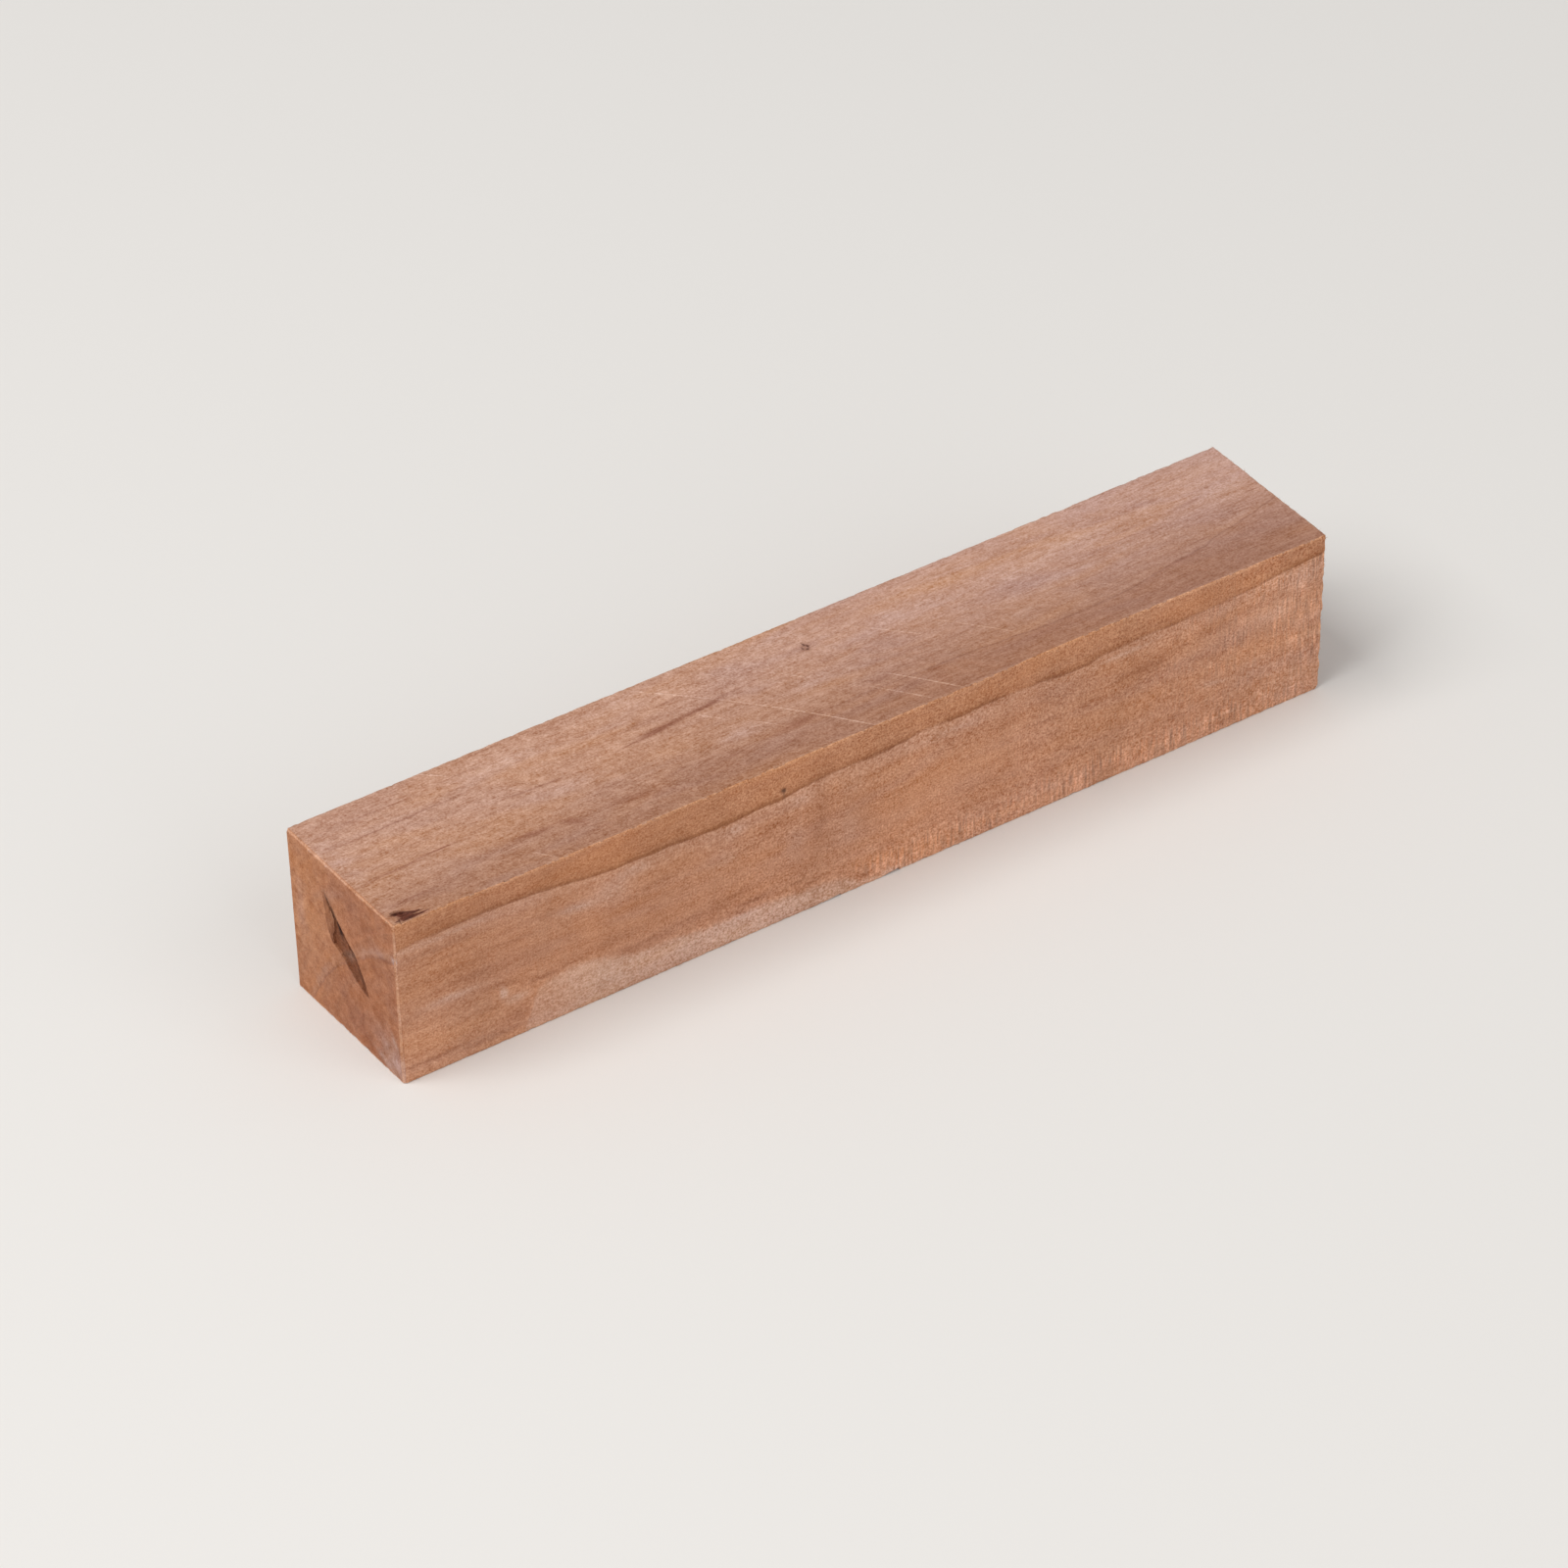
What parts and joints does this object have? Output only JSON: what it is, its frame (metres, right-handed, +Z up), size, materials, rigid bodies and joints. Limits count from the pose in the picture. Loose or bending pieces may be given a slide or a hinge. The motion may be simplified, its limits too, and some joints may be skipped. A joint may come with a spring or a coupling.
{
  "type": "wood turning blank",
  "caption": "Square-section fruitwood turning blank, ripped on four sides and crosscut at both ends, with a bark pocket in one end.",
  "frame": {"origin": "under the middle of the blank, in the plane of its underside", "axes": "+X along the grain from the end with the bark pocket to the other end, -Y out of the front side, +Z up"},
  "size_m": [0.1204, 0.0208, 0.021],
  "materials": {
    "fruitwood": "sawn, bare"
  },
  "bodies": {
    "root": {"blank": "fruitwood"}
  },
  "joints": []
}
